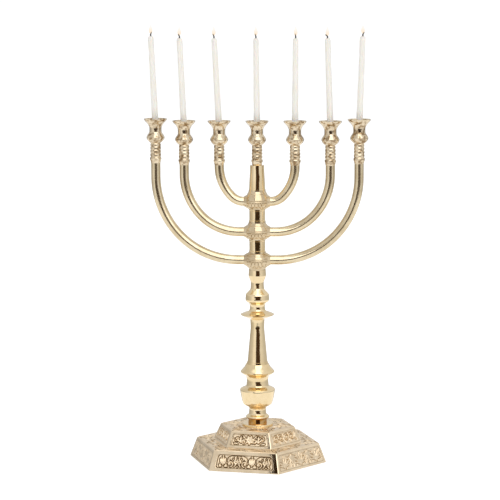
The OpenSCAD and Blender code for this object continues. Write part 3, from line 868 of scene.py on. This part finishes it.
def terrace_sheet(sheets, k, z, inner, outer, pattern, rise):
    """Relief on sector k of a flat hexagonal terrace between two apothems."""
    tangent = math.tan(math.pi / SIDES)
    us, vs = sheet_grid(inner * tangent, outer * tangent, inner, outer)
    relief = Relief(outer * tangent, inner, outer)
    edge = 1.3
    pattern(relief, inner * tangent + 0.35 * (outer - inner) * tangent, inner + edge, outer - edge)
    for side in (-1, 1):
        middle = (inner + outer) / 2
        start = (side * (inner + edge) * tangent, inner + edge)
        end = (side * (outer - edge) * tangent, outer - edge)
        relief.rib([start, (side * middle * tangent, middle), end], 2.6, ends=0.1, swell=0.2)
        relief.vein([start, end], 0.4, 0.4)
    drawn = relief.at(relief.heights(), us, vs)
    fade = smooth_step(vs, inner, inner + 0.8) * smooth_step(outer - vs, 0, 0.8)
    fade = fade * smooth_step(np.hypot(us, vs), FOOT_RING_R + 0.3, FOOT_RING_R + 1.5)
    turn = BASE_TURN + k * TAU / SIDES
    side_way = np.array([math.cos(turn), math.sin(turn), 0])
    out_way = np.array([math.sin(turn), -math.cos(turn), 0])
    lift = z - 0.15 + (0.2 + drawn * rise) * fade
    recess = (1 - smooth_step(drawn, 0.1, 0.6)) * fade * 0.85
    place = lambda u, v, w: np.outer(u, side_way) + np.outer(v, out_way) + np.outer(w, (0, 0, 1))
    sheets.add(us, vs, lift, recess, np.zeros(us.shape), place)


def base_relief(material):
    """All the cast relief of the base: twelve side panels and the two terraces."""
    # Pattern, lap, inset, corner radius, plain ends and stain: front and back panels, then the others
    facing = {
        "lower": (motif_row, 3.2, 3.3, 2.6, 2.0, 1.0),
        "upper": (tulip_row, 3.2, 2.3, 1.2, 0.6, 1.0),
    }
    others = {
        "lower": (frond_field, 1.6, 0.35, 2.6, 0.0, 0.55),
        "upper": (scroll_row, 2.0, 0.35, 1.2, 0.0, 0.55),
    }
    for tier, label in ((LOWER_TIER, "lower"), (UPPER_TIER, "upper")):
        for k in range(SIDES):
            sheets = Sheets()
            side_panel_sheet(sheets, tier, k, *(others if k % 3 else facing)[label])
            panel = sheets.build(f"{label}_side_relief_{k + 1}", material)
            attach(panel, "stand")
    terraces = (
        ("lower_terrace_relief", 20.5, UPPER_TIER["foot_r"] * HALF, LOWER_TIER["top_r"] * HALF),
        ("upper_terrace_relief", 37.0, FOOT_RING_R * HALF - 0.6, UPPER_TIER["top_r"] * HALF),
    )
    for label, z, inner, outer in terraces:
        sheets = Sheets()
        for k in range(SIDES):
            terrace_sheet(sheets, k, z, inner + 0.1, outer - 0.4, running_vine, 0.85)
        terrace = sheets.build(label, material)
        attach(terrace, "stand")


# ======== relief on the hubs ========

def hub_pattern(relief, arm_z):
    """Bead line across the middle, scalloped leaves hanging below it and leaves out to both arms."""
    relief.rib([(-7, arm_z + 0.4), (0, arm_z + 0.2), (7, arm_z + 0.4)], 1.4, ends=0.6)
    for k in range(5):
        x = (k - 2) * 3.3
        leaf(relief, x, arm_z - 1.3, -UP + 0.14 * (k - 2), 5.4, 3.2)
    for k in range(4):
        relief.boss((k - 1.5) * 3.4, arm_z - 5.2, 0.8)
    for side in (-1, 1):
        for lean in (-0.5, 0.15):
            leaf(relief, side * 7.4, arm_z + 2.6 * lean, lean if side > 0 else math.pi - lean, 4.6, 2.4)


def hub_relief(hub, body, arm_z, material):
    """Relief skins pressed on the front and the back of a hub, along its true surface."""
    node = frame["nodes"][hub]
    points = [v.co.copy() for v in node.data.vertices]
    tree = BVHTree.FromPolygons(points, [tuple(p.vertices) for p in node.data.polygons])
    low, high = (corner.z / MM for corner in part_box(hub))
    reach = 11.6
    low += 1.9
    high -= 3.6
    step = 0.36
    xs = np.linspace(-reach, reach, int(2 * reach / step) + 2)
    zs = np.linspace(low, high, int((high - low) / step) + 2)
    us, vs = np.meshgrid(xs, zs)
    relief = Relief(reach, low, high)
    hub_pattern(relief, arm_z / MM)
    drawn = relief.at(relief.heights(0.45, 0.5), us, vs)
    fade = smooth_step(reach - np.abs(us), 0.2, 1.4)
    fade = fade * smooth_step(vs - low, 0, 1.0) * smooth_step(high - vs, 0, 1.0)
    for label, facing in (("front", -1), ("back", 1)):
        skin, depth = [], []
        for u, v, h, f in zip(us.ravel(), vs.ravel(), drawn.ravel(), fade.ravel()):
            start = Vector((-facing * u * MM, facing * 0.04, v * MM))
            hit, normal, _, _ = tree.ray_cast(start, Vector((0, -facing, 0)))
            lift = (-0.12 + (0.16 + 0.6 * h) * f) * MM
            skin.append(hit + normal * lift if hit else None)
            depth.append((1 - float(smooth_step(h, 0.05, 0.45))) * f * 0.85)
        keep = {i: n for n, i in enumerate(i for i, p in enumerate(skin) if p is not None)}
        faces = [f for f in grid_faces(*us.shape) if all(i in keep for i in f)]
        faces = [tuple(keep[i] for i in f) for f in faces]
        piece = mesh_object(f"{hub}_relief_{label}", [skin[i] for i in keep], faces, material,
                            recess=[depth[i] for i in keep])
        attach(piece, body)


# ======== candles, wicks and flames ========

def axis_of(node, direction):
    """Foot and tip of a candle's own axis, from its CAD mesh."""
    points = np.array([v.co for v in frame["nodes"][node].data.vertices])
    along = points @ np.array(direction)
    foot_ring = points[along < along.min() + 0.0002]
    foot = (foot_ring.min(0) + foot_ring.max(0)) / 2
    return Vector(foot), along.max() - along.min()


def frame_on(foot, direction):
    """Matrix whose Z runs along a direction, with its X kept level."""
    return Matrix.Translation(foot) @ direction.to_track_quat("Z", "Y").to_matrix().to_4x4()


def candle_mesh(name, foot, direction, length, seed, material):
    """Slightly uneven dipped candle with a melted, softly dished tip and a few runs of wax."""
    draw = random.Random(seed)
    around = 40
    foot_r, tip_r = 3.4 * MM, 2.8 * MM
    phases = [draw.uniform(0, TAU) for _ in range(4)]
    runs = [(draw.uniform(0, TAU), draw.uniform(5, 16) * MM, draw.uniform(0.22, 0.42)) for _ in range(3)]
    heights = [0, 0.0006] + [length * t for t in np.linspace(0.015, 0.955, 90)]
    heights += [length - 3 * MM * (1 - math.sin(a)) for a in np.linspace(0.05, 0.5 * math.pi, 9)]
    place = frame_on(foot, direction)
    points, soot = [], []
    for z in heights:
        t = z / length
        r = foot_r + (tip_r - foot_r) * t
        if z < 0.0005:
            r -= 0.4 * MM
        top = (z - (length - 3 * MM)) / (3 * MM)
        if top > 0:
            r *= 0.3 + 0.7 * math.sqrt(max(1 - top ** 3, 0))
        for i in range(around):
            a = TAU * i / around
            wave = 0.05 * math.sin(2 * a + phases[0] + 20 * t) + 0.035 * math.sin(26 * t + phases[1])
            wave += 0.03 * math.sin(3 * a + phases[2] - 34 * t) + 0.02 * math.sin(71 * t + a + phases[3])
            drip = 0.0
            for where, reach, size in runs:
                off = math.cos(a - where)
                fade = smooth_step(z, length - reach - 0.004, length - reach)
                drip += size * max(off, 0) ** 24 * float(fade) * (1 if top < 0.3 else 0.4)
            radius = r + (wave * (0.4 if top > 0 else 1.0) + drip) * MM * (r / foot_r)
            points.append(place @ Vector((radius * math.cos(a), radius * math.sin(a), z)))
            soot.append(max(0.0, 0.75 * top) ** 3)
    return mesh_object(name, points, tube_faces(len(heights), around), material, soot=soot)


def wick_mesh(name, node, foot, direction, length, bare, seed, material):
    """Charred wick that leaves the wax straight and follows its CAD node's bend to a knobbed end."""
    draw = random.Random(seed)
    around = 10
    points_cad = np.array([v.co for v in frame["nodes"][node].data.vertices])
    along = points_cad @ np.array(direction)
    tip_points = points_cad[along > along.max() - 0.0006]
    tip = Vector((tip_points.min(0) + tip_points.max(0)) / 2)
    root = foot + direction * (length - 0.004)
    knee = foot + direction * (length + 0.4 * bare)
    route = curve_through([tuple(root), tuple(foot + direction * length), tuple(knee), tuple(tip)], 0.0003)
    points = []
    side = Vector((0, 1, 0))
    for n, p in enumerate(route):
        ahead = Vector(route[min(n + 1, len(route) - 1)] - route[max(n - 1, 0)]).normalized()
        across = ahead.cross(side).normalized()
        t = n / (len(route) - 1)
        r = 0.62 * MM * (1 + 0.16 * math.sin(9 * TAU * t) + 0.2 * math.sin(math.pi * t) ** 6)
        if n in (0, len(route) - 1):
            r *= 0.55
        for i in range(around):
            a = TAU * i / around + 6 * t
            rough = 1 + 0.12 * draw.uniform(-1, 1)
            points.append(Vector(p) + (across * math.cos(a) + side * math.sin(a)) * r * rough)
    return mesh_object(name, points, tube_faces(len(route), around), material)


def flame_mesh(name, tip, material):
    """Small still teardrop of flame round the wick's end."""
    around, rings = 20, 22
    height, widest = 10.5 * MM, 1.9 * MM
    base = tip + Vector((0, 0, -0.9 * MM))
    points, warmth = [], []
    for j in range(rings):
        t = j / (rings - 1)
        r = widest * math.sin(math.pi * t ** 0.62) ** 1.25 + 0.02 * MM
        for i in range(around):
            a = TAU * i / around
            points.append(base + Vector((r * math.cos(a), r * math.sin(a), height * t)))
            warmth.append(1 - t)
    return mesh_object(name, points, tube_faces(rings, around), material, warmth=warmth)


def dress_candles(wax, char, flame):
    lifts = {j["child"]: Vector(j["axis"]) for j in frame["joints"] if j["name"].endswith("_lift")}
    for k in CANDLES:
        body = f"candle_{k}_body"
        direction = lifts[body].normalized()
        foot, length = axis_of(f"candle_{k}", direction)
        _, wick_length = axis_of(f"wick_{k}", direction)
        bare = wick_length - length
        candle = candle_mesh(f"dipped_candle_{k}", foot, direction, length, 40 + k, wax)
        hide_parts(f"candle_{k}")
        wick = wick_mesh(f"burnt_wick_{k}", f"wick_{k}", foot, direction, length, bare, 60 + k, char)
        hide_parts(f"wick_{k}")
        light = flame_mesh(f"flame_{k}", foot + direction * (length + 0.75 * bare), flame)
        for piece, slot in ((candle, "wax"), (wick, "wick"), (light, "wax")):
            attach(piece, body)


# ======== finishes of the CAD pieces ========

def dress_frame(finishes):
    """Gives every CAD node the finish of its material slot."""
    slots = {part["node"]: part["material_slot"] for part in frame["record"]["subparts"]}
    own = {
        "arm": "bent_brass",
        "cup": "lumpy_brass",
        "hub": "hub_cast",
        "lower_vase": "vase_brass",
        "base_casting": "mirror_cast",
    }
    for name, node in frame["nodes"].items():
        finish = finishes[own.get(name, own.get(name.split("_")[0], slots[name]))]
        for slot in node.material_slots:
            slot.material = finish


def soften_base():
    """Rounds the casting's edges a little, as sand casting and buffing do."""
    node = frame["nodes"]["base_casting"]
    weld = node.modifiers.new("weld", "WELD")
    weld.merge_threshold = WELD_GAP
    bevel = node.modifiers.new("edges", "BEVEL")
    bevel.width = EDGE_ROUND
    bevel.segments = EDGE_STEPS
    bevel.limit_method = "ANGLE"
    bevel.angle_limit = EDGE_ANGLE
    bevel.harden_normals = False


def build():
    bpy.context.scene.view_settings.view_transform = "Standard"
    studio_world()
    studio_camera()
    studio_floor()
    cast = cast_brass("cast_brass_worn")
    finishes = {
        "polished_brass": polished_brass("polished_brass_turned"),
        # The vase carries a painted orange reflection at its foot
        "vase_brass": polished_brass("polished_brass_vase", VASE_PAINTED_REFLECTION),
        "bent_brass": brushed_brass("brushed_brass_arms"),
        "lumpy_brass": cup_brass("cast_brass_cups"),
        "cast_brass": cast,
        "hub_cast": cast_brass("cast_brass_hubs", (0.12, 0.22), 0.00014, HUB_LIGHT, HUB_DEEP),
        "mirror_cast": cast_brass("cast_brass_bright", (0.004, 0.008), 0.000002),
        "steel": zinc_steel("zinc_plated_steel"),
        "wax": candle_wax("candle_wax"),
        "wick": charred_cotton("charred_cotton"),
    }
    dress_frame(finishes)
    soften_base()
    base_relief(cast)
    arm_levels = {j["child"]: j["pos_m"][2] for j in frame["joints"] if j["name"].endswith("_turn")}
    branches = {"hub_lower": "branch_outer", "hub_middle": "branch_middle", "hub_upper": "branch_inner"}
    for hub, body in branches.items():
        hub_relief(hub, body, arm_levels[body], finishes["hub_cast"])
    dress_candles(finishes["wax"], finishes["wick"], faint_flame("pale_flame"))


build()
